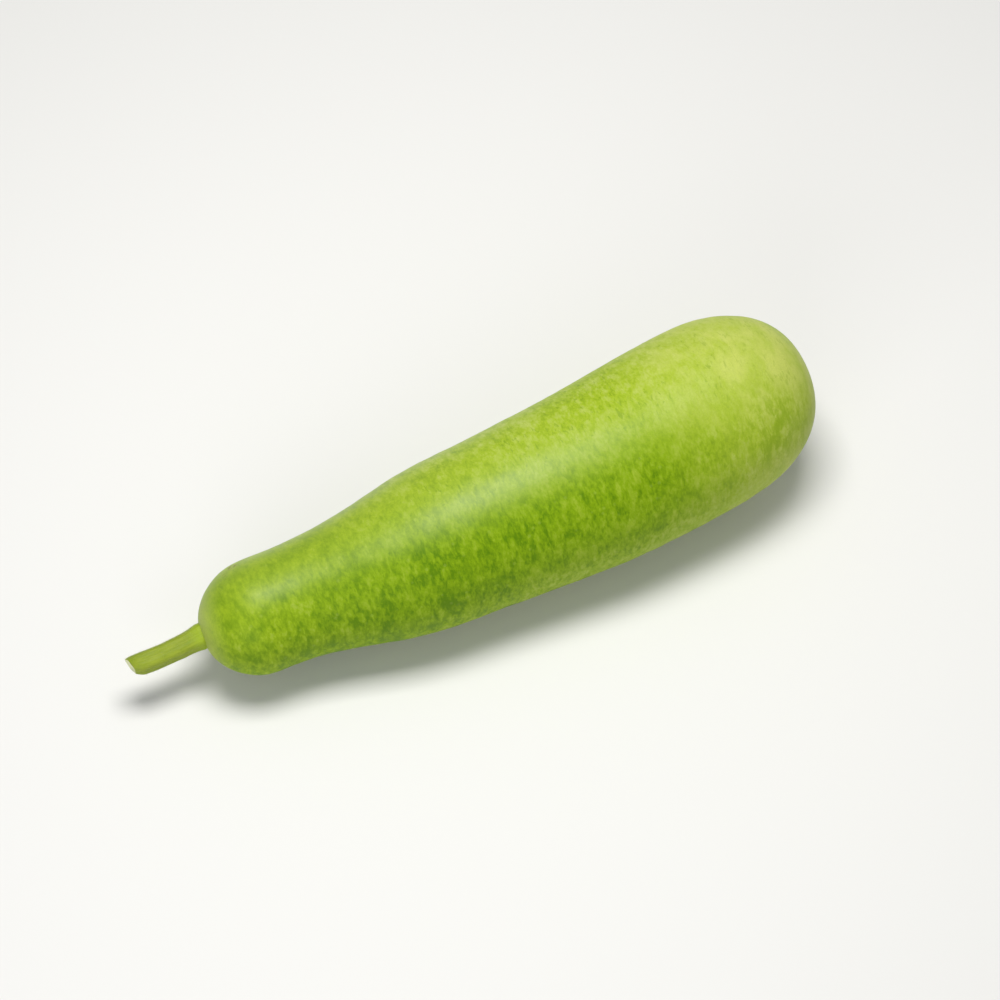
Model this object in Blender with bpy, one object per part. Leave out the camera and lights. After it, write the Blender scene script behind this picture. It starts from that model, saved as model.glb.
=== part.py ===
"""A bottle gourd as picked: a long, club-shaped fruit and a short length of its cut stem, lying on its side.

Run with: blender --background --python part.py, or from Blender's text editor.

Frame, in metres, +Z up: the fruit lies along X, its stem end at -X and its blossom end at +X. The origin is
on the surface that it lies on, under the middle of its box. Both pieces are modelled in the gourd's own
frame, whose X axis starts at the stem end and runs along the fruit. They hang from one empty that lays that
frame down on the surface.
"""

import math

import bmesh
import bpy
from mathutils import Matrix, Vector

# The fruit's line, from the stem end.
FRUIT_LENGTH = 0.316
STEM_CAP_LENGTH = 0.029  # rounded end of the neck
NECK_LENGTH = 0.039  # stem end to where the neck opens into the shoulder
SHOULDER_LENGTH = 0.0845  # the stretch over which it opens
SWELL_START = 0.028  # stem end to where the slow swell to the belly starts
BLOSSOM_CAP_LENGTH = 0.062  # rounded end of the belly, where that swell stops

# Half widths across the fruit.
NECK_RADIUS = 0.0274
SHOULDER_RISE = 0.0078  # what the shoulder adds
SWELL_RISE = 0.0097  # what the slow swell adds
HEIGHT_SHARE = 0.975  # it has sagged a little: its height over its width

# How square-shouldered each rounded end is: 2 is an ellipse.
STEM_CAP_FULLNESS = 1.9
BLOSSOM_CAP_FULLNESS = 2.43

# The line isn't straight: the shoulder swells to one side, and the blossom half leans back to the other.
SHOULDER_SWAY = 0.0049
SHOULDER_SWAY_START = 0.027
SHOULDER_SWAY_LENGTH = 0.0665
BLOSSOM_SWAY = 0.0075
BLOSSOM_SWAY_LENGTH = 0.137

# Shallow hollows round the stem's foot and round the blossom scar.
STEM_HOLLOW_DEPTH = 0.0010
STEM_HOLLOW_RADIUS = 0.0085
BLOSSOM_HOLLOW_DEPTH = 0.0016
BLOSSOM_HOLLOW_RADIUS = 0.0070

# How far the surface presses a flat spot into the underside.
FLAT_DEPTH = 0.0005

# The stem.
STEM_LENGTH = 0.0342
STEM_RADIUS = 0.0052
STEM_FLARE = 0.0010  # how much it widens, all round, to meet the fruit
STEM_FLARE_LENGTH = 0.0035
STEM_OFFSET = 0.0028  # it stands this far beside the fruit's own line
STEM_BOW = 0.0009  # sideways bend, at the middle of its length
STEM_CUT_SLANT = math.radians(14)
STEM_RIBS = 5
STEM_RIB_DEPTH = 0.0003

SEAT_GAP = 0.0003  # between the stem's foot and the fruit

# Mesh fineness.
FRUIT_RINGS = 56
FRUIT_SEGMENTS = 48
STEM_RINGS = 16
STEM_SEGMENTS = 30
TILT_STEPS = 8

SKIN_GREEN = (0.30, 0.47, 0.035)
STEM_GREEN = (0.31, 0.41, 0.075)
SKIN_ROUGHNESS = 0.42
STEM_ROUGHNESS = 0.55


def smooth_step(value, start, length):
    """0 before start, 1 after start + length, and a smooth rise between."""
    share = min(max((value - start) / length, 0.0), 1.0)
    return share * share * (3 - 2 * share)


def round_end(distance, length, fullness):
    """The share of its full width that a rounded end has at a distance from its tip."""
    inwards = max(1 - distance / length, 0.0)
    return max(1 - inwards**fullness, 0.0) ** (1 / fullness)


def fruit_radius(along):
    """Half width of the fruit at a distance from the stem end."""
    swell_length = FRUIT_LENGTH - BLOSSOM_CAP_LENGTH - SWELL_START
    body = (
        NECK_RADIUS
        + SHOULDER_RISE * smooth_step(along, NECK_LENGTH, SHOULDER_LENGTH)
        + SWELL_RISE * smooth_step(along, SWELL_START, swell_length)
    )
    stem_end = round_end(along, STEM_CAP_LENGTH, STEM_CAP_FULLNESS)
    blossom_end = round_end(FRUIT_LENGTH - along, BLOSSOM_CAP_LENGTH, BLOSSOM_CAP_FULLNESS)
    return body * stem_end * blossom_end


def sway(along):
    """How far the fruit's line lies to the -Y side of a straight one."""
    shoulder = SHOULDER_SWAY * smooth_step(along, SHOULDER_SWAY_START, SHOULDER_SWAY_LENGTH)
    blossom_start = FRUIT_LENGTH - BLOSSOM_SWAY_LENGTH
    return shoulder - BLOSSOM_SWAY * smooth_step(along, blossom_start, BLOSSOM_SWAY_LENGTH)


def hollow(radius, depth, reach):
    """How far a shallow hollow at a tip sinks the skin at a radius from its middle."""
    return depth * math.exp(-((radius / reach) ** 2))


def fruit_point(along, turn, offset=0.0):
    """Point of the skin in the gourd's frame. turn runs round it from +Y, and offset moves it outwards."""
    radius = fruit_radius(along)
    sunk = hollow(radius, STEM_HOLLOW_DEPTH, STEM_HOLLOW_RADIUS)
    if along > FRUIT_LENGTH / 2:
        sunk = -hollow(radius, BLOSSOM_HOLLOW_DEPTH, BLOSSOM_HOLLOW_RADIUS)
    # The offset surface is the same shape, stretched outwards from the middle of its length.
    stretch = 1 + 2 * offset / FRUIT_LENGTH
    lengthwise = (along - FRUIT_LENGTH / 2) * stretch + FRUIT_LENGTH / 2 + sunk
    outwards = radius + offset * min(radius / NECK_RADIUS, 1.0)
    return Vector(
        (
            lengthwise,
            outwards * math.cos(turn) - sway(along),
            outwards * HEIGHT_SHARE * math.sin(turn),
        )
    )


def lofted(rings, first_pole=None, last_pole=None):
    """A bmesh through closed rings. Each end is closed by a pole point or, without one, by a flat face."""
    bm = bmesh.new()
    loops = [[bm.verts.new(point) for point in ring] for ring in rings]
    for one, two in zip(loops, loops[1:]):
        for i, start in enumerate(one):
            j = (i + 1) % len(one)
            bm.faces.new((start, one[j], two[j], two[i]))
    for loop, pole in ((loops[0], first_pole), (loops[-1], last_pole)):
        if pole is None:
            bm.faces.new(loop)
            continue
        tip = bm.verts.new(pole)
        for i, start in enumerate(loop):
            bm.faces.new((tip, start, loop[(i + 1) % len(loop)]))
    bmesh.ops.recalc_face_normals(bm, faces=bm.faces)
    return bm


def fruit_bmesh(offset=0.0):
    """The whole fruit, or the same shape grown by an offset. Rings crowd towards both ends."""
    stations = [
        FRUIT_LENGTH * (1 - math.cos(math.pi * i / FRUIT_RINGS)) / 2 for i in range(1, FRUIT_RINGS)
    ]
    turns = [math.tau * i / FRUIT_SEGMENTS for i in range(FRUIT_SEGMENTS)]
    rings = [[fruit_point(along, turn, offset) for turn in turns] for along in stations]
    return lofted(rings, fruit_point(0.0, 0.0, offset), fruit_point(FRUIT_LENGTH, 0.0, offset))


def stem_radius(out, turn):
    """Half width of the stem at a distance out from the fruit, with its soft ribs."""
    flare = STEM_FLARE * math.exp(-max(out, 0.0) / STEM_FLARE_LENGTH)
    return STEM_RADIUS + flare + STEM_RIB_DEPTH * math.cos(STEM_RIBS * turn)


def stem_bmesh():
    """The stem, running out along -X. It starts inside the fruit, whose grown shape is then cut from it."""
    inside = STEM_RADIUS + STEM_FLARE
    turns = [math.tau * i / STEM_SEGMENTS for i in range(STEM_SEGMENTS)]
    rings = []
    for i in range(STEM_RINGS + 1):
        out = -inside + (STEM_LENGTH + inside) * i / STEM_RINGS
        share = max(out, 0.0) / STEM_LENGTH
        middle = STEM_OFFSET - STEM_BOW * math.sin(math.pi * share)
        ring = []
        for turn in turns:
            radius = stem_radius(out, turn)
            beside = radius * math.cos(turn)
            # Towards its end the rings lean over, so that the last one lies in the slanted cut.
            lean = beside * math.tan(STEM_CUT_SLANT) * share**2
            ring.append(Vector((-out - lean, middle + beside, radius * math.sin(turn))))
        rings.append(ring)
    return lofted(rings)


def lowest(points, tilt):
    """The lowest of some (along, radius) points of the underside, once they are tilted."""
    return max(points, key=lambda point: point[1] * math.cos(tilt) - point[0] * math.sin(tilt))


def resting_tilt():
    """The angle at which it lies: it touches the surface on both sides of the middle of its weight."""
    stations = [FRUIT_LENGTH * i / FRUIT_RINGS for i in range(1, FRUIT_RINGS)]
    under = [(along, fruit_radius(along) * HEIGHT_SHARE) for along in stations]
    weight = sum(radius**2 for _, radius in under)
    balance = sum(along * radius**2 for along, radius in under) / weight
    stem_side = [point for point in under if point[0] < balance]
    blossom_side = [point for point in under if point[0] >= balance]
    tilt = 0.0
    for _ in range(TILT_STEPS):
        near, far = lowest(stem_side, tilt), lowest(blossom_side, tilt)
        tilt = math.atan2(far[1] - near[1], far[0] - near[0])
    return tilt


def laid_down(fruit, stem):
    """The matrix that lays the gourd on the surface, sunk by the flat's depth, and centres its box."""
    tilt = Matrix.Rotation(-resting_tilt(), 4, "Y")
    points = [tilt @ vert.co for bm in (fruit, stem) for vert in bm.verts]
    low = Vector(min(p[axis] for p in points) for axis in range(3))
    high = Vector(max(p[axis] for p in points) for axis in range(3))
    middle = (low + high) / 2
    return Matrix.Translation((-middle.x, -middle.y, -low.z - FLAT_DEPTH)) @ tilt


def press_flat(fruit, placing):
    """Cuts away what would lie under the surface, and closes the opening with a flat face."""
    back = placing.inverted()
    everything = fruit.verts[:] + fruit.edges[:] + fruit.faces[:]
    cut = bmesh.ops.bisect_plane(
        fruit,
        geom=everything,
        plane_co=back @ Vector((0, 0, 0)),
        plane_no=back.to_3x3() @ Vector((0, 0, 1)),
        clear_inner=True,
    )
    rims = [item for item in cut["geom_cut"] if isinstance(item, bmesh.types.BMEdge)]
    bmesh.ops.holes_fill(fruit, edges=rims)
    bmesh.ops.recalc_face_normals(fruit, faces=fruit.faces)


def material(name, colour, roughness):
    made = bpy.data.materials.new(name)
    made.use_nodes = True
    shader = made.node_tree.nodes["Principled BSDF"]
    shader.inputs["Base Color"].default_value = (*colour, 1.0)
    shader.inputs["Roughness"].default_value = roughness
    shader.inputs["Metallic"].default_value = 0.0
    return made


def add_piece(name, bm, parent, finish=None):
    """Makes the bmesh an object in the gourd's frame."""
    mesh = bpy.data.meshes.new(name)
    bm.to_mesh(mesh)
    bm.free()
    mesh.shade_smooth()
    mesh.set_sharp_from_angle(angle=math.radians(40))
    piece = bpy.data.objects.new(name, mesh)
    bpy.context.scene.collection.objects.link(piece)
    piece.parent = parent
    if finish:
        mesh.materials.append(finish)
    return piece


def seat_stem(stem, parent):
    """Shapes the stem's foot to the fruit's end by cutting the fruit, grown by the seat gap, from it."""
    cutter = add_piece("fruit_grown_by_gap", fruit_bmesh(SEAT_GAP), parent)
    cutter.hide_render = True
    cutter.display_type = "WIRE"
    seat = stem.modifiers.new("seat", "BOOLEAN")
    seat.operation = "DIFFERENCE"
    seat.solver = "EXACT"
    seat.object = cutter


def main():
    for old in list(bpy.data.objects):
        bpy.data.objects.remove(old)
    fruit = fruit_bmesh()
    stem = stem_bmesh()
    placing = laid_down(fruit, stem)
    press_flat(fruit, placing)

    gourd = bpy.data.objects.new("gourd", None)
    bpy.context.scene.collection.objects.link(gourd)
    gourd.matrix_world = placing
    add_piece("fruit", fruit, gourd, material("skin", SKIN_GREEN, SKIN_ROUGHNESS))
    stem_piece = add_piece("stem", stem, gourd, material("stem_green", STEM_GREEN, STEM_ROUGHNESS))
    seat_stem(stem_piece, gourd)


main()
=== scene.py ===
"""The looks of a bottle gourd: mottled skin, ribbed and downy stem, blossom scar, and a plain stage."""

import math
import operator

import bpy
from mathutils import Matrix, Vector


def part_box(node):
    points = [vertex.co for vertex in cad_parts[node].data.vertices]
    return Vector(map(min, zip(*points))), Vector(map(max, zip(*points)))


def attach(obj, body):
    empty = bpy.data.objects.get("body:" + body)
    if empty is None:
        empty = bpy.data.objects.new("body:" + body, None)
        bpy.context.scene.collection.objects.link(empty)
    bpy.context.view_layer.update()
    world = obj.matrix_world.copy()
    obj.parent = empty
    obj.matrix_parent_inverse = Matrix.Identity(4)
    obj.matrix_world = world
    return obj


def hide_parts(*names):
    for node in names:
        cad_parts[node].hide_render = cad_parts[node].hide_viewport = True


bl_info = {
    "name": "Bottle Gourd",
    "version": (1, 0, 0),
    "blender": (4, 5, 0),
    "location": "View3D > Sidebar > Gourd",
    "description": "Grows a bottle gourd's skin, stem and blossom scar, and sets a plain stage for it",
    "category": "Add Mesh",
}

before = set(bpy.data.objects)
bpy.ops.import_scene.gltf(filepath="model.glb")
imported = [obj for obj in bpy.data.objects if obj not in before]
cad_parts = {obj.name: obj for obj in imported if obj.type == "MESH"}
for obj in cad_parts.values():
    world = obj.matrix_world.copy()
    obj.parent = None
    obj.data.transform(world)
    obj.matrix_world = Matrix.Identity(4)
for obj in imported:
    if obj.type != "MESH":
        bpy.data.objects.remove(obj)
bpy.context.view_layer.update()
FRUIT_LOW, FRUIT_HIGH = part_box("fruit")
BODY = "root"
MM = 0.001

# Fineness of the meshes, and of the sums that lay the gourd down.
FRUIT_RINGS, FRUIT_SEGMENTS = 330, 256
STEM_RINGS, STEM_SEGMENTS = 150, 180
SCAR_RINGS, SCAR_SEGMENTS = 48, 120
MERGE_DISTANCE = 0.000004
TILT_STEPS = 8
OUTLINE_STEPS, OUTLINE_TURNS = 400, 24

# Shares of a grid's rows: to the stem's cut, over its hidden foot, and over the scar's upper side.
STEM_SIDE_SHARE = 0.8
STEM_FOOT_SHARE = 0.03
SCAR_TOP_SHARE = 0.9

# What repeats round the stem and the scar.
STEM_RIBS = 5
STEM_STRANDS, STEM_FINE_STRANDS = 22, 35
SCAR_FOLDS, SCAR_FINE_FOLDS = 7, 17

# Fixed seeds of the hairs.
ROOT_SEED, LEAN_SEED, STRETCH_SEED = 7, 11, 23

PLAIN_MATHS = {
    "POWER": pow,
    "MINIMUM": min,
    "MAXIMUM": max,
    "EXPONENT": math.exp,
    "SINE": math.sin,
    "COSINE": math.cos,
    "LESS_THAN": operator.lt,
}


# Node trees as Python expressions.


def maths(operation, *values):
    """A Math node's operation. On numbers alone it gives a number, and with a wire among them a wire."""
    graphs = [value.graph for value in values if isinstance(value, Wire)]
    if not graphs:
        return PLAIN_MATHS[operation](*values)
    return graphs[0].add("ShaderNodeMath", {"operation": operation}, dict(enumerate(values)))


class Wire:
    """One output socket, for use in Python expressions: each operator adds its Math node."""

    def __init__(self, graph, socket):
        self.graph = graph
        self.socket = socket

    def __add__(self, other):
        return maths("ADD", self, other)

    def __sub__(self, other):
        return maths("SUBTRACT", self, other)

    def __rsub__(self, other):
        return maths("SUBTRACT", other, self)

    def __mul__(self, other):
        return maths("MULTIPLY", self, other)

    def __truediv__(self, other):
        return maths("DIVIDE", self, other)

    def __rtruediv__(self, other):
        return maths("DIVIDE", other, self)

    __radd__ = __add__
    __rmul__ = __mul__


class Graph:
    """A node tree that is being built, of a material or of Geometry Nodes."""

    def __init__(self, tree):
        self.tree = tree

    def add(self, kind, settings=None, values=None, out=0):
        """Adds a node: its settings first, then its sockets' values or wires. Gives one output's wire."""
        node = self.tree.nodes.new(kind)
        for name, setting in (settings or {}).items():
            if name == "stops":
                set_stops(node.color_ramp, setting)
            else:
                setattr(node, name, setting)
        for key, value in (values or {}).items():
            if isinstance(value, Wire):
                self.tree.links.new(value.socket, node.inputs[key])
            else:
                node.inputs[key].default_value = value
        return Wire(self, node.outputs[out])

    def parts(self, vector):
        """The x, y and z wires of a vector wire."""
        x = self.add("ShaderNodeSeparateXYZ", values={0: vector})
        return x, Wire(self, x.socket.node.outputs[1]), Wire(self, x.socket.node.outputs[2])

    def vector(self, x, y, z):
        return self.add("ShaderNodeCombineXYZ", values={0: x, 1: y, 2: z})

    def vectors(self, operation, one, two, out=0):
        return self.add("ShaderNodeVectorMath", {"operation": operation}, {0: one, 1: two}, out)

    def noise(self, where, size, detail=2.0, roughness=0.5, distortion=0.0):
        """Cloudy noise about 0.5, with blotches of about half the given size."""
        values = {"Vector": where, "Scale": 1 / size, "Detail": detail, "Roughness": roughness}
        return self.add("ShaderNodeTexNoise", values={**values, "Distortion": distortion})

    def cells(self, where, size, smoothness=0.6):
        """The distance to the middle of each rounded cell, in cells."""
        settings = {"feature": "SMOOTH_F1"}
        values = {"Vector": where, "Scale": 1 / size, "Smoothness": smoothness}
        return self.add("ShaderNodeTexVoronoi", settings, values)

    def rise(self, value, low, high, bottom=0.0, top=1.0):
        """A smooth rise from bottom to top as a wire goes from low to high."""
        settings = {"interpolation_type": "SMOOTHSTEP"}
        values = {0: value, 1: low, 2: high, 3: bottom, 4: top}
        return self.add("ShaderNodeMapRange", settings, values)

    def blend(self, share, one, two, how="MIX"):
        """Two colours mixed by a share."""
        settings = {"data_type": "RGBA", "blend_type": how}
        values = {0: share, 6: colour(one), 7: colour(two)}
        return self.add("ShaderNodeMix", settings, values, 2)


def colour(value):
    """A wire as it is, and a colour's three numbers with its alpha."""
    return value if isinstance(value, Wire) else (*value, 1.0)


def set_stops(ramp, stops):
    """Gives a colour ramp its (position, colour) stops."""
    while len(ramp.elements) > len(stops):
        ramp.elements.remove(ramp.elements[-1])
    while len(ramp.elements) < len(stops):
        ramp.elements.new(1.0)
    for element, (position, stop) in zip(ramp.elements, stops):
        element.position = position
        element.color = (*stop, 1.0)


# Sizes and colours that a user would change.


def length(name, description, default):
    return bpy.props.FloatProperty(
        name=name, description=description, default=default, unit="LENGTH", precision=4
    )


def tint(name, description, default):
    return bpy.props.FloatVectorProperty(
        name=name, description=description, default=default, subtype="COLOR", min=0.0, max=1.0
    )


def number(name, description, default):
    return bpy.props.FloatProperty(name=name, description=description, default=default, precision=3)


class GourdFruitSizes(bpy.types.PropertyGroup):
    """The fruit's line and widths, from its stem end."""

    fruit_length: length("Fruit Length", "From the stem end to the blossom end", 0.316)
    stem_cap: length("Stem Cap", "Length of the neck's rounded end", 0.029)
    neck: length("Neck", "From the stem end to where the neck opens", 0.039)
    shoulder: length("Shoulder", "The stretch over which the neck opens", 0.0845)
    swell_start: length("Swell Start", "From the stem end to where the slow swell starts", 0.028)
    blossom_cap: length("Blossom Cap", "Length of the belly's rounded end", 0.062)
    neck_radius: length("Neck Radius", "Half width of the neck", 0.0274)
    shoulder_rise: length("Shoulder Rise", "What the shoulder adds to the half width", 0.0078)
    swell_rise: length("Swell Rise", "What the slow swell adds to the half width", 0.0097)
    height_share: number("Height Share", "Its height over its width: it has sagged a little", 0.975)
    stem_fullness: number("Stem Cap Fullness", "How square-shouldered it is; 2 is an ellipse", 1.9)
    blossom_fullness: number("Blossom Cap Fullness", "The same, at the blossom end", 2.43)
    shoulder_sway: length("Shoulder Sway", "How far the line swings aside at the shoulder", 0.0049)
    shoulder_sway_start: length("Shoulder Sway Start", "Where that swing starts", 0.027)
    shoulder_sway_length: length("Shoulder Sway Length", "The stretch that it takes", 0.0665)
    blossom_sway: length("Blossom Sway", "How far the blossom half leans back", 0.0075)
    blossom_sway_length: length("Blossom Sway Length", "The stretch that it takes", 0.137)
    stem_hollow: length("Stem Hollow", "Depth of the hollow round the stem's foot", 0.0010)
    stem_hollow_reach: length("Stem Hollow Reach", "Its radius", 0.0085)
    blossom_hollow: length("Blossom Hollow", "Depth of the hollow round the scar", 0.0016)
    blossom_hollow_reach: length("Blossom Hollow Reach", "Its radius", 0.0070)
    scar_radius: length("Scar Radius", "Half width of the blossom scar", 0.0041)
    flat_depth: length("Flat Depth", "How far the surface presses the underside in", 0.0005)
    waves: length("Waves", "Height of the broad, gentle unevenness of the skin", 0.0009)
    dimples: length("Dimples", "Height of the small unevenness of the skin", 0.00022)


class GourdStemSizes(bpy.types.PropertyGroup):
    """The stem, out from the fruit."""

    stem_length: length("Stem Length", "From the fruit to the cut", 0.0342)
    stem_radius: length("Stem Radius", "Half width of the stem", 0.0052)
    flare: length("Flare", "How much it widens, all round, to meet the fruit", 0.0010)
    flare_length: length("Flare Length", "How quickly that fades away from the fruit", 0.0035)
    offset: length("Offset", "How far it stands beside the fruit's own line", 0.0028)
    bow: length("Bow", "Its sideways bend, at the middle of its length", 0.0009)
    cut_slope: number("Cut Slope", "Rise over run of the slanted cut", math.tan(math.radians(14)))
    rib_depth: length("Rib Depth", "Height of its broad ribs", 0.0003)
    strand_depth: length("Strand Depth", "Height of the fine strands between them", 0.000035)
    worn_length: length("Worn Length", "The stretch over which the cut's edge is rounded off", 0.0042)
    worn_depth: length("Worn Depth", "How much it is rounded off on its -Y side", 0.0019)
    dish: length("Dish", "How far the middle of the cut has sunk", 0.0007)
    down_length: length("Down Length", "Length of the fine hairs", 0.0009)
    down_radius: length("Down Radius", "Half width of a hair at its root", 0.00003)
    down_density: number("Down Density", "Hairs on each square metre", 1.5e6)


class GourdFinish(bpy.types.PropertyGroup):
    """The colours of the skin, stem, scar and stage."""

    pale: tint("Pale Green", "The pale blotches of the skin", (0.43, 0.505, 0.115))
    green: tint("Green", "The skin between them", (0.300, 0.415, 0.015))
    deep: tint("Deep Green", "The darkest of the skin", (0.150, 0.262, 0.004))
    # Painted shade: Shade Green multiplies the lower side darker and greener, standing in for the shade
    # that the lamps leave there.
    shade: tint("Shade Green", "The skin low down, where less sun reached it", (0.63, 0.75, 0.22))
    blossom: tint("Blossom Pale", "The cloudy pale skin of the blossom end", (0.485, 0.535, 0.12))
    ripe: tint("Ripe Yellow", "The first yellowing, round the scar and where it lay", (0.50, 0.46, 0.09))
    stem: tint("Stem Green", "The stem's ribs", (0.190, 0.258, 0.008))
    stem_pale: tint("Stem Pale", "The paler strands of the stem", (0.275, 0.338, 0.024))
    cut: tint("Cut", "The stem's cut end", (0.80, 0.82, 0.56))
    dry: tint("Dry Brown", "Scars, and the dried flower's remains", (0.17, 0.105, 0.035))
    down: tint("Down", "The fine hairs", (0.60, 0.66, 0.38))
    floor: tint("Floor", "The stage's floor", (0.74, 0.74, 0.73))


PROPERTY_GROUPS = (
    ("gourd_fruit", GourdFruitSizes),
    ("gourd_stem", GourdStemSizes),
    ("gourd_finish", GourdFinish),
)


def values_of(group):
    """A property group's values, by property."""
    return {key: getattr(group, key) for key in type(group).__annotations__}


# The gourd's shape, on numbers or on wires.


def smooth_step(value, start, stretch):
    """0 before start, 1 after start + stretch, and a smooth rise between."""
    share = maths("MINIMUM", maths("MAXIMUM", (value - start) / stretch, 0.0), 1.0)
    return share * share * (3 - 2 * share)


def round_end(distance, stretch, fullness):
    """The share of its full width that a rounded end has at a distance from its tip."""
    inwards = maths("MAXIMUM", 1 - distance / stretch, 0.0)
    rest = maths("MAXIMUM", 1 - maths("POWER", inwards, fullness), 0.0)
    return maths("POWER", rest, 1 / fullness)


def half_width(along, size):
    """Half width of the fruit at a distance from the stem end."""
    swell = size["fruit_length"] - size["blossom_cap"] - size["swell_start"]
    body = (
        size["neck_radius"]
        + size["shoulder_rise"] * smooth_step(along, size["neck"], size["shoulder"])
        + size["swell_rise"] * smooth_step(along, size["swell_start"], swell)
    )
    stem_end = round_end(along, size["stem_cap"], size["stem_fullness"])
    left = size["fruit_length"] - along
    return body * stem_end * round_end(left, size["blossom_cap"], size["blossom_fullness"])


def sway(along, size):
    """How far the fruit's line lies to the -Y side of a straight one."""
    start = size["fruit_length"] - size["blossom_sway_length"]
    shoulder = smooth_step(along, size["shoulder_sway_start"], size["shoulder_sway_length"])
    blossom = smooth_step(along, start, size["blossom_sway_length"])
    return size["shoulder_sway"] * shoulder - size["blossom_sway"] * blossom


def hollow(radius, depth, reach):
    """How far a shallow hollow at a tip sinks the skin at a radius from its middle."""
    ratio = radius / reach
    return depth * maths("EXPONENT", 0 - ratio * ratio)


def skin_point(along, turn, size, radius):
    """x, y and z of the skin in the gourd's own frame. turn runs round the fruit from +Y."""
    by_stem = maths("LESS_THAN", along, size["fruit_length"] / 2)
    sunk = by_stem * hollow(radius, size["stem_hollow"], size["stem_hollow_reach"]) - (
        1 - by_stem
    ) * hollow(radius, size["blossom_hollow"], size["blossom_hollow_reach"])
    y = radius * maths("COSINE", turn) - sway(along, size)
    return along + sunk, y, radius * size["height_share"] * maths("SINE", turn)


def laid(point, place):
    """A point of the gourd's own frame, laid down on the surface."""
    x, y, z = point
    cosine, sine = maths("COSINE", place["tilt"]), maths("SINE", place["tilt"])
    return (
        x * cosine - z * sine + place["shift_x"],
        y + place["shift_y"],
        x * sine + z * cosine + place["shift_z"],
    )


def resting_tilt(size):
    """The angle at which it lies: it touches the surface on both sides of the middle of its weight."""
    stations = [size["fruit_length"] * i / OUTLINE_STEPS for i in range(1, OUTLINE_STEPS)]
    under = [(along, half_width(along, size) * size["height_share"]) for along in stations]
    weight = sum(radius**2 for _, radius in under)
    balance = sum(along * radius**2 for along, radius in under) / weight
    neck_half = [point for point in under if point[0] < balance]
    belly_half = [point for point in under if point[0] >= balance]
    tilt = 0.0
    for _ in range(TILT_STEPS):
        neck_along, neck_depth = lowest(neck_half, tilt)
        belly_along, belly_depth = lowest(belly_half, tilt)
        tilt = math.atan2(belly_depth - neck_depth, belly_along - neck_along)
    return tilt


def lowest(points, tilt):
    """The point of the underside that reaches furthest down at a tilt."""
    return max(points, key=lambda point: point[1] * math.cos(tilt) - point[0] * math.sin(tilt))


def placing(size):
    """The tilt and the shifts that bring the skin's box onto the box of the fruit's CAD node."""
    place = {"tilt": resting_tilt(size), "shift_x": 0.0, "shift_y": 0.0, "shift_z": 0.0}
    points = []
    for i in range(1, OUTLINE_STEPS):
        along = size["fruit_length"] * (1 - math.cos(math.pi * i / OUTLINE_STEPS)) / 2
        radius = half_width(along, size)
        for j in range(OUTLINE_TURNS):
            turn = math.tau * j / OUTLINE_TURNS
            points.append(laid(skin_point(along, turn, size, radius), place))
    low = [min(point[axis] for point in points) for axis in range(3)]
    high = [max(point[axis] for point in points) for axis in range(3)]
    place["shift_x"] = (FRUIT_LOW.x + FRUIT_HIGH.x - low[0] - high[0]) / 2
    place["shift_y"] = (FRUIT_LOW.y + FRUIT_HIGH.y - low[1] - high[1]) / 2
    place["shift_z"] = -low[2] - size["flat_depth"]
    return place


# Geometry Nodes.


def geometry_graph(name, sizes):
    """A new tree with a named input for each size. Gives its graph and the inputs' wires by size."""
    tree = bpy.data.node_groups.new(name, "GeometryNodeTree")
    tree.interface.new_socket("Geometry", in_out="OUTPUT", socket_type="NodeSocketGeometry")
    for key in sizes:
        tree.interface.new_socket(key, in_out="INPUT", socket_type="NodeSocketFloat")
    graph = Graph(tree)
    inputs = tree.nodes.new("NodeGroupInput")
    return graph, {key: Wire(graph, inputs.outputs[key]) for key in sizes}


def unit_grid(graph, rows, columns):
    """A grid over the unit square, and the wires of its two coordinates."""
    values = {"Size X": 1.0, "Size Y": 1.0, "Vertices X": rows + 1, "Vertices Y": columns + 1}
    grid = graph.add("GeometryNodeMeshGrid", values=values)
    x, y, _ = graph.parts(graph.add("GeometryNodeInputPosition"))
    return grid, x + 0.5, y + 0.5


def kept(graph, geometry, name, value):
    """Stores a number on each point, for the material."""
    values = {"Geometry": geometry, "Name": name, "Value": value}
    return graph.add("GeometryNodeStoreNamedAttribute", {"domain": "POINT"}, values)


def closed(graph, geometry, point):
    """Moves the grid's points to a closed surface, and joins its seam and its poles."""
    moved = graph.add("GeometryNodeSetPosition", values={"Geometry": geometry, "Position": point})
    values = {"Geometry": moved, "Distance": MERGE_DISTANCE}
    return graph.add("GeometryNodeMergeByDistance", values=values)


def finished(graph, geometry, material):
    """Ends a tree: smooth, realized and with its material."""
    smooth = graph.add("GeometryNodeSetShadeSmooth", values={"Geometry": geometry})
    real = graph.add("GeometryNodeRealizeInstances", values={"Geometry": smooth})
    values = {"Geometry": real, "Material": material}
    painted = graph.add("GeometryNodeSetMaterial", values=values)
    end = graph.tree.nodes.new("NodeGroupOutput")
    graph.tree.links.new(painted.socket, end.inputs[0])
    return graph.tree


def grown(name, tree, sizes):
    """Runs a tree with its sizes, and keeps what it makes as a plain mesh object."""
    piece = bpy.data.objects.new(name, bpy.data.meshes.new(name))
    bpy.context.scene.collection.objects.link(piece)
    modifier = piece.modifiers.new(name, "NODES")
    modifier.node_group = tree
    for item in tree.interface.items_tree:
        if item.in_out == "INPUT":
            modifier[item.identifier] = sizes[item.name]
    graph = bpy.context.evaluated_depsgraph_get()
    evaluated = piece.evaluated_get(graph)
    mesh = bpy.data.meshes.new_from_object(evaluated, preserve_all_data_layers=True, depsgraph=graph)
    if not mesh.polygons:
        raise RuntimeError(f"{name} came out empty")
    for slot in reversed(range(len(mesh.materials))):
        if mesh.materials[slot] is None:
            mesh.materials.pop(index=slot)
    piece.modifiers.clear()
    piece.data = mesh
    mesh.name = name
    return piece


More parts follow.
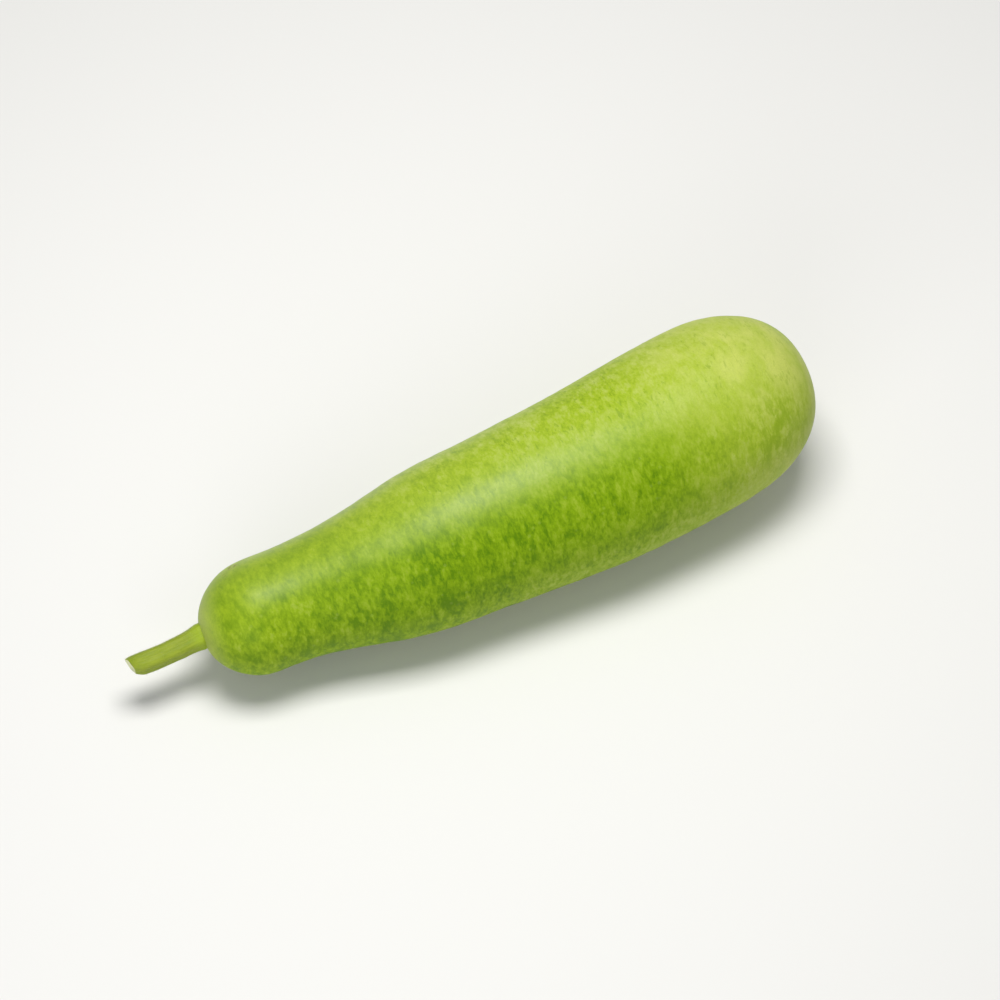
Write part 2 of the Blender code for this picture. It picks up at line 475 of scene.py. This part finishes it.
def fruit_tree(sizes, material):
    """The whole skin: the formula's surface with a gentle unevenness, pressed flat where it lies."""
    graph, size = geometry_graph("gourd fruit", sizes)
    grid, u, v = unit_grid(graph, FRUIT_RINGS, FRUIT_SEGMENTS)
    along = size["fruit_length"] * (1 - maths("COSINE", math.pi * u)) / 2
    turn = math.tau * (1 - v)
    smooth = half_width(along, size)
    where = graph.vector(*skin_point(along, turn, size, smooth))
    broad = graph.noise(where, 0.075, detail=1.0)
    small = graph.noise(graph.vectors("MULTIPLY", where, (1.5, 1.0, 1.0)), 0.014, detail=1.5)
    uneven = (broad - 0.5) * size["waves"] + (small - 0.5) * size["dimples"]
    radius = smooth * (1 + uneven * 2 / size["neck_radius"])
    x, y, z = laid(skin_point(along, turn, size, radius), size)
    pressed = maths("SMOOTH_MAX", z, 0.0, size["flat_depth"])
    skin = kept(graph, grid, "along", along / size["fruit_length"])
    return finished(graph, closed(graph, skin, graph.vector(x, y, pressed)), material)


def stem_tree(sizes, material):
    """The stem, from inside the fruit to the slanted cut, and over the cut's dished face to its middle."""
    graph, size = geometry_graph("gourd stem", sizes)
    grid, u, v = unit_grid(graph, STEM_RINGS, STEM_SEGMENTS)
    turn = math.tau * v
    side = maths("MINIMUM", u / STEM_SIDE_SHARE, 1.0)
    face = maths("MAXIMUM", (u - STEM_SIDE_SHARE) / (1 - STEM_SIDE_SHARE), 0.0)
    inside = size["stem_radius"] + size["flare"]
    out = side * (size["stem_length"] + inside) - inside
    outside = maths("MAXIMUM", out, 0.0)
    share = outside / size["stem_length"]
    flare = size["flare"] * maths("EXPONENT", 0 - outside / size["flare_length"])
    ribs = size["rib_depth"] * maths("COSINE", STEM_RIBS * turn)
    wander = graph.noise(graph.vector(outside, 0.0, 0.0), 0.011, detail=1.0) * 1.5
    coarse = maths("COSINE", STEM_STRANDS * turn + wander * 3)
    fine = maths("COSINE", STEM_FINE_STRANDS * turn - wander * 5)
    strands = size["strand_depth"] * (coarse + fine * 0.6)
    cosine, sine = maths("COSINE", turn), maths("SINE", turn)
    lumps = graph.noise(graph.vector(out, 4 * MM * cosine, 4 * MM * sine), 8 * MM) - 0.5
    full = size["stem_radius"] + flare + ribs + strands + 0.6 * MM * lumps
    to_cut = maths("MAXIMUM", 1 - (size["stem_length"] - out) / size["worn_length"], 0.0)
    near_side = 0.5 - 0.5 * cosine
    worn = size["worn_depth"] * (0.35 + 0.65 * near_side) * to_cut * to_cut
    foot = maths("MINIMUM", u / STEM_FOOT_SHARE, 1.0)
    radius = (full - worn) * (1 - face) * foot
    rim = maths("SMOOTH_MIN", face * 6, 1.0, 0.5)
    beside, height = radius * cosine, radius * sine
    lean = beside * size["cut_slope"] * share * share
    middle = size["offset"] - size["bow"] * maths("SINE", math.pi * share)
    own = graph.vector(0 - out - lean, beside, height)
    frayed = 0.35 * MM * (graph.noise(own, 1.6 * MM, detail=2.0) - 0.5) * rim
    sunk = size["dish"] * rim * (1 - (1 - face) * (1 - face) * 0.75) + frayed
    point = laid((0 - out - lean + sunk, middle + beside, height), size)
    stem = kept(graph, grid, "out", share)
    stem = kept(graph, stem, "face", face)
    stem = kept(graph, stem, "turn_cos", cosine)
    stem = kept(graph, stem, "turn_sin", sine)
    return finished(graph, closed(graph, stem, graph.vector(*point)), material)


def down_tree(sizes, material):
    """Fine hairs over the side of the stem, leaning towards its cut end."""
    graph, size = geometry_graph("gourd down", sizes)
    graph.tree.interface.new_socket("Stem", in_out="INPUT", socket_type="NodeSocketObject")
    inputs = graph.tree.nodes.new("NodeGroupInput")
    stem = Wire(graph, inputs.outputs["Stem"])
    surface = graph.add("GeometryNodeObjectInfo", values={"Object": stem}, out="Geometry")
    named = {"data_type": "FLOAT"}
    out = graph.add("GeometryNodeInputNamedAttribute", named, {"Name": "out"})
    face = graph.add("GeometryNodeInputNamedAttribute", named, {"Name": "face"})
    on_side = graph.rise(out, 0.015, 0.06) * maths("LESS_THAN", face, 0.001)
    settings = {"distribute_method": "RANDOM"}
    values = {"Mesh": surface, "Density": size["down_density"] * on_side, "Seed": ROOT_SEED}
    roots = graph.add("GeometryNodeDistributePointsOnFaces", settings, values)
    normal = Wire(graph, roots.socket.node.outputs["Normal"])
    settings = {"data_type": "FLOAT_VECTOR"}
    values = {0: (-0.9, -0.35, -0.35), 1: (-0.1, 0.35, 0.35), 8: LEAN_SEED}
    lean = graph.add("FunctionNodeRandomValue", settings, values)
    values = {"Vector": graph.vectors("ADD", normal, lean)}
    standing = graph.add("FunctionNodeAlignRotationToVector", {"axis": "Z"}, values)
    values = {
        "Vertices": 3,
        "Radius Top": 0.0,
        "Radius Bottom": size["down_radius"],
        "Depth": size["down_length"],
    }
    hair = graph.add("GeometryNodeMeshCone", values=values)
    values = {2: 0.45, 3: 1.15, 8: STRETCH_SEED}
    stretch = graph.add("FunctionNodeRandomValue", {"data_type": "FLOAT"}, values, 1)
    values = {"Points": roots, "Instance": hair, "Rotation": standing, "Scale": stretch}
    hairs = graph.add("GeometryNodeInstanceOnPoints", values=values)
    return finished(graph, hairs, material)


def scar_tree(sizes, material):
    """The dried scar of the flower: a puckered ring round a small stub, sunk in the blossom hollow."""
    graph, size = geometry_graph("gourd blossom scar", sizes)
    grid, row, v = unit_grid(graph, SCAR_RINGS, SCAR_SEGMENTS)
    turn = math.tau * v
    cosine, sine = maths("COSINE", turn), maths("SINE", turn)
    u = maths("MINIMUM", row / SCAR_TOP_SHARE, 1.0)
    under = maths("MAXIMUM", (row - SCAR_TOP_SHARE) / (1 - SCAR_TOP_SHARE), 0.0)
    ragged = graph.noise(graph.vector(cosine, sine, 0.0), 0.7, detail=3.0)
    radius = size["scar_radius"] * u * (0.8 + 0.4 * ragged) * (1 - under)
    coarse = maths("COSINE", SCAR_FOLDS * turn + ragged * 15)
    fine = maths("COSINE", SCAR_FINE_FOLDS * turn - ragged * 22)
    folds = coarse * 0.5 + fine * 0.4
    ring = graph.rise(u, 0.30, 0.58) * graph.rise(u, 1.0, 0.70)
    stub = graph.rise(u, 0.34, 0.16)
    y, z = radius * cosine, radius * sine
    bumps = graph.noise(graph.vector(y, z, 0.0), 1.1 * MM, detail=3.0) - 0.5
    height = (
        MM * ring * (0.35 + 0.80 * ragged) * (1 + 0.42 * folds)
        + 1.5 * MM * stub
        + 0.45 * MM * graph.rise(u, 0.95, 0.75)
        + 0.5 * MM * bumps * graph.rise(u, 1.0, 0.85)
        - 0.35 * MM * graph.rise(u, 0.75, 1.0)
        - MM * under
    )
    tip = size["fruit_length"] - size["blossom_hollow"]
    lift = 0.12 * MM * u * u
    aside = size["blossom_sway"] - size["shoulder_sway"]
    point = laid((tip + height + lift, aside + y, z), size)
    scar = kept(graph, grid, "from_middle", u)
    scar = kept(graph, scar, "height", ring * (0.5 + 0.5 * folds) + stub)
    return finished(graph, closed(graph, scar, graph.vector(*point)), material)


# Materials.


def material_graph(name):
    """A new material, and its graph with nothing but its output and shader in it."""
    made = bpy.data.materials.new(name)
    made.use_nodes = True
    return made, Graph(made.node_tree)


def shade(graph, wires, constants):
    """Feeds the material's shader: wires that vary over the surface, and numbers that don't."""
    shader = graph.tree.nodes["Principled BSDF"]
    for key, wire in wires.items():
        graph.tree.links.new(wire.socket, shader.inputs[key])
    for key, value in constants.items():
        shader.inputs[key].default_value = value


def attribute(graph, name):
    return graph.add("ShaderNodeAttribute", {"attribute_name": name}, out="Fac")


def near(graph, where, spot, inner, outer):
    """1 within inner of a spot, and 0 beyond outer."""
    return graph.rise(graph.vectors("DISTANCE", where, spot, "Value"), outer, inner)


def skin_spot(size, along, degrees):
    """Where on the laid gourd a distance along it and a turn round it are."""
    turn = math.radians(degrees)
    return laid(skin_point(along, turn, size, half_width(along, size)), size)


def skin_material(finish, size):
    """Mottled, satin skin: blotches, streaks, ticks and pale dots, with its own look at each end."""
    made, graph = material_graph("gourd_skin")
    where = graph.add("ShaderNodeTexCoord", out="Object")
    across = graph.vectors("MULTIPLY", where, (1.75, 1.0, 1.0))
    along = attribute(graph, "along")
    _, y, z = graph.parts(where)

    # The mottle's layers, from the broadest to the finest.
    clouds = graph.noise(where, 0.060, detail=2.0)
    wide = graph.noise(across, 0.019, detail=3.0, roughness=0.55, distortion=0.5)
    blotches = graph.noise(across, 0.0092, detail=3.0, roughness=0.6, distortion=0.3)
    spots = graph.cells(across, 0.0058)
    streaked = graph.vectors("MULTIPLY", where, (2.5, 1.0, 1.0))
    streaks = graph.noise(streaked, 0.0052, detail=3.0, roughness=0.6, distortion=0.5)
    fine = graph.noise(across, 0.0021, detail=2.0)
    grain = graph.noise(where, 0.0007, detail=1.0)

    # One tone from dark to pale. Its contrast is softer on the upper side and at the blossom end, and it
    # is made fainter along the strip of the overhead highlight, as a painted highlight veil.
    blossom = graph.rise(along, 0.66, 0.93)
    blotch = graph.rise(blotches, 0.36, 0.64)
    spot = graph.rise(spots, 0.62, 0.22)
    tone = (
        0.23 * blotch
        + 0.19 * spot
        + 0.17 * graph.rise(wide, 0.34, 0.66)
        + 0.29 * graph.rise(streaks, 0.36, 0.64)
        + 0.12 * graph.rise(clouds, 0.35, 0.65)
        + 0.22 * graph.rise(fine, 0.34, 0.66)
        - 0.61
    )
    # How far a point lies towards the shaded side, which is down and to -Y.
    downwards = 0.025 - 0.83 * y - 0.55 * z
    contrast = graph.rise(downwards, -0.020, 0.010, 0.78, 1.0) * graph.rise(along, 0.0, 0.30, 0.80, 1.0)
    # Painted highlight veil: the mottle is made fainter along the strip where the overhead highlight
    # falls.
    painted_highlight_veil = graph.rise(downwards, 0.012, -0.006) * graph.rise(downwards, -0.036, -0.020)
    contrast = contrast * (1 - 0.38 * painted_highlight_veil)
    tone = tone * contrast * (1 - 0.45 * blossom) + 0.5 + 0.04 * blossom

    # Short rays round the blossom scar, and painted shade that darkens the lower side.
    tip_spot = skin_spot(size, size["fruit_length"] - 0.0002, 0.0)
    from_tip = graph.vectors("SUBTRACT", where, tip_spot)
    ray = graph.add("ShaderNodeVectorMath", {"operation": "NORMALIZE"}, {0: from_tip})
    rays = graph.noise(graph.vectors("MULTIPLY", ray, (0.4, 1.0, 1.0)), 0.17, detail=3.0, distortion=0.3)
    by_tip = near(graph, where, tip_spot, 0.008, 0.040)
    tone = tone + 0.9 * (rays - 0.5) * by_tip + 0.5 * (blotches - 0.5) * by_tip - 0.10 * by_tip
    # Painted shade: low is a band on the lower side, weaker near the bottom rim, where the tone is painted
    # darker.
    low = graph.rise(downwards, -0.030, 0.012) * graph.rise(downwards, 0.050, 0.028, 0.45, 1.0)
    tone = tone + 0.22 * graph.rise(along, 0.0, 0.80) - 0.09 - 0.10 * low

    # The tone's colours, the cloudy blossom end, and painted shade on the lower side.
    stops = ((0.06, finish.deep), (0.50, finish.green), (0.96, finish.pale))
    paint = graph.add("ShaderNodeValToRGB", {"stops": stops}, {"Fac": tone})
    cloudy = blossom * graph.rise(wide, 0.40, 0.62, 0.38, 0.85) * (1 - 0.45 * by_tip)
    # Painted shade: the blossom end's pale clouds fade on the lower side, leaving it darker.
    cloudy = cloudy * graph.rise(downwards, 0.020, -0.020, 0.60, 1.0)
    paint = graph.blend(cloudy, paint, finish.blossom)
    # Painted shade: the lower side is multiplied towards Shade Green, less at the neck and hardly at the
    # blossom end.
    painted_shade = low * (1 - 0.92 * blossom) * graph.rise(along, 0.02, 0.30, 0.45, 1.0)
    paint = graph.blend(painted_shade, paint, finish.shade, "MULTIPLY")

    # Small dark ticks in patches, one darker patch on the blossom end's -Y side, and pale dots.
    ticked = graph.vectors("MULTIPLY", where, (2.6, 1.0, 1.0))
    ticks = graph.noise(ticked, 0.0040, detail=2.0, distortion=0.6)
    patches = graph.rise(graph.noise(where, 0.034, detail=1.0), 0.46, 0.62)
    tick = graph.rise(ticks, 0.57, 0.70) * patches
    paint = graph.blend(tick * 0.50 * (1 - 0.4 * blossom), paint, finish.deep)
    patch = near(graph, where, skin_spot(size, 0.281, 148.0), 0.004, 0.032)
    patch = patch * graph.rise(blotches + streaks, 1.20, 0.84)
    paint = graph.blend(patch * 0.80, paint, graph.blend(0.5, finish.deep, finish.green))
    dots = graph.add("ShaderNodeTexVoronoi", values={"Vector": where, "Scale": 1 / 0.0046})
    dot = graph.rise(dots, 0.24, 0.10) * graph.rise(graph.noise(where, 0.012), 0.42, 0.6)
    paint = graph.blend(dot * 0.14, paint, finish.pale)

    # A pale collar round the stem, and yellowing round the scar and where it lies.
    foot = near(graph, where, skin_spot(size, 0.0005, 0.0), 0.008, 0.026)
    paint = graph.blend(foot * 0.70, paint, finish.pale)
    paint = graph.blend(near(graph, where, tip_spot, 0.003, 0.016) * 0.45, paint, finish.ripe)
    lay = graph.rise(z, 0.014, 0.001)
    paint = graph.blend(lay * 0.45, paint, finish.ripe)

    scars = scuffs(graph, where, size)
    paint = graph.blend(scars * 0.8, paint, finish.dry)
    stops = ((0.3, (0.0, 0.0, 0.0)), (0.7, (1.0, 1.0, 1.0)))
    grey = graph.add("ShaderNodeValToRGB", {"stops": stops}, {"Fac": grain})
    paint = graph.blend(0.05, paint, grey, "OVERLAY")

    # A film of wax on the upper side, thinner at both ends and at the back.
    wax = 0.66 * graph.rise(downwards, 0.014, -0.020) * (0.80 + 0.4 * wide)
    wax = wax * graph.rise(downwards, -0.042, -0.026, 0.45, 1.0)
    wax = wax * graph.rise(along, 0.74, 0.44, 0.25, 1.0) * graph.rise(along, 0.0, 0.09, 0.4, 1.0)
    roughness = 0.46 + 0.08 * blotch + 0.25 * scars
    height = 0.45 * blotch + 0.30 * spot + 0.18 * fine + 0.05 * grain - 0.6 * scars
    values = {"Strength": 0.30, "Distance": 0.00020, "Height": height}
    bump = graph.add("ShaderNodeBump", values=values)
    shade(
        graph,
        {"Base Color": paint, "Roughness": roughness, "Coat Weight": wax, "Normal": bump},
        {
            "Specular IOR Level": 0.10,
            "Coat Roughness": 0.42,
            "Subsurface Weight": 0.12,
            "Subsurface Radius": (0.9, 1.0, 0.25),
            "Subsurface Scale": 0.0015,
            "Sheen Weight": 0.12,
            "Sheen Roughness": 0.20,
            "Sheen Tint": (0.93, 1.0, 0.82, 1.0),
        },
    )
    return made


def scuffs(graph, where, size):
    """The few small dry scars: two on top of the neck, two on the +Y side and one underneath."""
    broken = graph.rise(graph.noise(where, 0.0024, detail=2.0), 0.44, 0.60)
    found = 0.0
    for along, degrees, reach in (
        (0.026, 44.0, 0.0032),
        (0.021, 52.0, 0.0018),
        (0.214, 20.0, 0.0024),
        (0.118, 318.0, 0.0030),
        (0.262, 262.0, 0.0022),
    ):
        found = near(graph, where, skin_spot(size, along, degrees), reach * 0.3, reach) + found
    return broken * found


def stem_material(finish):
    """Fibrous stem: pale strands on green, darker by the fruit, and a pale cut face with its vessels."""
    made, graph = material_graph("gourd_stem")
    where = graph.add("ShaderNodeTexCoord", out="Object")
    out = attribute(graph, "out")
    face = attribute(graph, "face")
    round_x, round_y = attribute(graph, "turn_cos"), attribute(graph, "turn_sin")
    lengthwise = graph.vector(out * 1.2, round_x, round_y)
    strands = graph.noise(lengthwise, 0.24, detail=3.0, roughness=0.6, distortion=0.2)
    broad = graph.noise(lengthwise, 1.1, detail=1.0)
    fine = graph.noise(where, 0.0014, detail=3.0)
    tone = 0.5 * graph.rise(strands, 0.34, 0.66) + 0.3 * graph.rise(broad, 0.35, 0.65) + 0.2 * fine
    paint = graph.blend(tone, finish.stem, finish.stem_pale)
    paint = graph.blend(graph.rise(out, 0.22, 0.0) * 0.55, paint, finish.green)
    dirt = graph.rise(graph.noise(where, 0.0045, detail=3.0), 0.60, 0.72)
    paint = graph.blend(dirt * 0.30, paint, finish.deep)
    on_face = graph.rise(face, 0.0, 0.012)
    rim = graph.rise(face, 0.22, 0.03) * on_face
    vessels = graph.rise(maths("COSINE", face * 21) * graph.rise(strands, 0.44, 0.56), 0.15, 0.75)
    flesh = graph.blend(0.35 * fine + 0.35 * vessels, finish.cut, finish.stem_pale)
    flesh = graph.blend(graph.rise(face, 0.82, 0.97) * 0.5, flesh, finish.dry)
    flesh = graph.blend(rim * 0.12, flesh, finish.stem)
    paint = graph.blend(on_face, paint, flesh)
    roughness = 0.50 + 0.12 * strands + 0.2 * on_face
    height = strands * (1 - on_face) + 0.35 * fine + 0.4 * vessels * on_face
    bump = graph.add("ShaderNodeBump", values={"Strength": 0.5, "Distance": 0.00018, "Height": height})
    shade(
        graph,
        {"Base Color": paint, "Roughness": roughness, "Normal": bump},
        {
            "Specular IOR Level": 0.25,
            "Subsurface Weight": 0.10,
            "Subsurface Radius": (0.9, 1.0, 0.3),
            "Subsurface Scale": 0.001,
            "Sheen Weight": 0.08,
            "Sheen Roughness": 0.4,
            "Sheen Tint": (0.95, 1.0, 0.85, 1.0),
        },
    )
    return made


def down_material(finish):
    """Fine, pale hair, greener in places."""
    made, graph = material_graph("gourd_down")
    where = graph.add("ShaderNodeTexCoord", out="Object")
    speckle = graph.noise(where, 0.002)
    paint = graph.blend(speckle, finish.down, finish.stem_pale)
    shade(graph, {"Base Color": paint}, {"Roughness": 0.6})
    return made


def scar_material(finish):
    """Dry, corky brown, lighter on its folds and greenish at its edge."""
    made, graph = material_graph("gourd_scar")
    where = graph.add("ShaderNodeTexCoord", out="Object")
    from_middle = attribute(graph, "from_middle")
    corky = graph.noise(where, 0.0009, detail=4.0, roughness=0.65)
    raised = graph.rise(attribute(graph, "height") + corky - 0.5, 0.15, 0.75)
    dark = graph.blend(0.50, finish.dry, (0.0, 0.0, 0.0))
    paint = graph.blend(raised, dark, graph.blend(0.7 * corky, finish.dry, finish.ripe))
    paint = graph.blend(graph.rise(from_middle, 0.72, 0.98) * 0.8, paint, finish.ripe)
    paint = graph.blend(graph.rise(from_middle, 0.90, 1.0) * 0.6, paint, finish.green)
    bump = graph.add("ShaderNodeBump", values={"Strength": 0.7, "Distance": 0.0003, "Height": corky})
    shade(graph, {"Base Color": paint, "Roughness": 0.62 + 0.3 * corky, "Normal": bump}, {})
    return made


# Operators.


def all_sizes(scene):
    """Every size of the gourd, with its place on the surface."""
    sizes = {**values_of(scene.gourd_fruit), **values_of(scene.gourd_stem)}
    return {**sizes, **placing(sizes)}


def taken(sizes, group):
    """The sizes of one property group, with the gourd's place."""
    return {key: sizes[key] for key in (*group.__annotations__, "tilt", "shift_x", "shift_y", "shift_z")}


class GOURD_OT_fruit(bpy.types.Operator):
    """Grow the fruit's skin"""

    bl_idname = "gourd.fruit"
    bl_label = "Fruit"

    def execute(self, context):
        sizes = all_sizes(context.scene)
        material = skin_material(context.scene.gourd_finish, sizes)
        wanted = taken(sizes, GourdFruitSizes)
        skin = grown("gourd_skin", fruit_tree(wanted, material), wanted)
        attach(skin, BODY)
        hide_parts("fruit")
        return {"FINISHED"}


class GOURD_OT_stem(bpy.types.Operator):
    """Grow the cut stem and its down"""

    bl_idname = "gourd.stem"
    bl_label = "Stem"

    def execute(self, context):
        sizes = all_sizes(context.scene)
        finish = context.scene.gourd_finish
        wanted = taken(sizes, GourdStemSizes)
        stem = grown("gourd_stem", stem_tree(wanted, stem_material(finish)), wanted)
        tree = down_tree(wanted, down_material(finish))
        down = grown("stem_down", tree, {**wanted, "Stem": stem})
        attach(stem, BODY)
        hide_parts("stem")
        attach(down, BODY)
        return {"FINISHED"}


class GOURD_OT_scar(bpy.types.Operator):
    """Grow the scar that the flower left"""

    bl_idname = "gourd.scar"
    bl_label = "Blossom Scar"

    def execute(self, context):
        sizes = all_sizes(context.scene)
        wanted = taken(sizes, GourdFruitSizes)
        tree = scar_tree(wanted, scar_material(context.scene.gourd_finish))
        scar = grown("blossom_scar", tree, wanted)
        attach(scar, BODY)
        return {"FINISHED"}


class GOURD_OT_stage(bpy.types.Operator):
    """Set the floor, the lights and the camera"""

    bl_idname = "gourd.stage"
    bl_label = "Stage"

    def execute(self, context):
        lay_floor(context.scene)
        hang_lights(context.scene)
        set_camera(context.scene)
        return {"FINISHED"}


def lay_floor(scene):
    """A plain pale floor, which brightens far from the gourd."""
    half = 6.0
    mesh = bpy.data.meshes.new("floor")
    corners = [(-half, -half, 0), (half, -half, 0), (half, half, 0), (-half, half, 0)]
    mesh.from_pydata(corners, [], [(0, 1, 2, 3)])
    floor = bpy.data.objects.new("floor", mesh)
    scene.collection.objects.link(floor)
    made, graph = material_graph("floor")
    where = graph.add("ShaderNodeTexCoord", out="Object")
    distance = graph.vectors("DISTANCE", where, (0, 0, 0), "Value")
    glow = graph.blend(graph.rise(distance, 0.5, 2.2), (0, 0, 0), (0.55, 0.55, 0.54))
    paint = (*scene.gourd_finish.floor, 1.0)
    constants = {"Base Color": paint, "Roughness": 0.85, "Emission Strength": 1.0}
    shade(graph, {"Emission Color": glow}, constants)
    mesh.materials.append(made)


def soft_light(scene, name, place, aim, size, power, tone):
    """A rectangle of soft light."""
    data = bpy.data.lights.new(name, "AREA")
    data.shape = "RECTANGLE"
    data.size, data.size_y = size
    data.energy = power
    data.color = tone
    light = bpy.data.objects.new(name, data)
    light.location = place
    light.rotation_euler = (Vector(aim) - Vector(place)).to_track_quat("-Z", "Y").to_euler()
    scene.collection.objects.link(light)


def hang_lights(scene):
    """A long soft box overhead, a weaker one from the stem's side, and a pale surround."""
    warm, white = (1.0, 0.985, 0.95), (1.0, 1.0, 1.0)
    soft_light(scene, "overhead", (0.04, 0.10, 1.15), (0.0, 0.0, 0.0), (0.62, 0.38), 12.8, warm)
    soft_light(scene, "fill", (-0.75, -0.80, 0.45), (-0.05, 0.0, 0.04), (0.9, 0.6), 5.0, white)
    world = bpy.data.worlds.new("surround")
    world.use_nodes = True
    graph = Graph(world.node_tree)
    seen = graph.add("ShaderNodeLightPath", out="Is Camera Ray")
    paint = graph.blend(seen, (0.29, 0.295, 0.30), (0.93, 0.93, 0.91))
    graph.tree.links.new(paint.socket, graph.tree.nodes["Background"].inputs["Color"])
    scene.world = world
    scene.view_settings.view_transform = "Standard"


def set_camera(scene):
    """A long lens that looks down on the gourd from its stem's side."""
    azimuth, elevation, distance = math.radians(-25.98), math.radians(58.0), 1.5
    back = Vector(
        (
            math.sin(azimuth) * math.cos(elevation),
            -math.cos(azimuth) * math.cos(elevation),
            math.sin(elevation),
        )
    )
    middle = (FRUIT_LOW + FRUIT_HIGH) / 2
    aim = Vector((middle.x - 0.0040, middle.y + 0.0036, 0.043))
    data = bpy.data.cameras.new("camera")
    data.lens = 115.0
    camera = bpy.data.objects.new("camera", data)
    camera.location = aim + back * distance
    camera.rotation_euler = (-back).to_track_quat("-Z", "Y").to_euler()
    scene.collection.objects.link(camera)
    scene.camera = camera


OPERATORS = (GOURD_OT_fruit, GOURD_OT_stem, GOURD_OT_scar, GOURD_OT_stage)


class GOURD_PT_panel(bpy.types.Panel):
    """Lists what the gourd is made with"""

    bl_idname = "GOURD_PT_panel"
    bl_label = "Bottle Gourd"
    bl_space_type = "VIEW_3D"
    bl_region_type = "UI"
    bl_category = "Gourd"

    def draw(self, context):
        for kind in OPERATORS:
            self.layout.operator(kind.bl_idname)
        for name, group in PROPERTY_GROUPS:
            box = self.layout.box()
            for key in group.__annotations__:
                box.prop(getattr(context.scene, name), key)


def register():
    for name, group in PROPERTY_GROUPS:
        bpy.utils.register_class(group)
        setattr(bpy.types.Scene, name, bpy.props.PointerProperty(type=group))
    for kind in (*OPERATORS, GOURD_PT_panel):
        bpy.utils.register_class(kind)


def unregister():
    for kind in reversed((*OPERATORS, GOURD_PT_panel)):
        bpy.utils.unregister_class(kind)
    for name, group in reversed(PROPERTY_GROUPS):
        delattr(bpy.types.Scene, name)
        bpy.utils.unregister_class(group)


def main():
    """Registers the add-on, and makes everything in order."""
    register()
    bpy.ops.gourd.stage()
    bpy.ops.gourd.fruit()
    bpy.ops.gourd.stem()
    bpy.ops.gourd.scar()


if __name__ == "__main__":
    main()
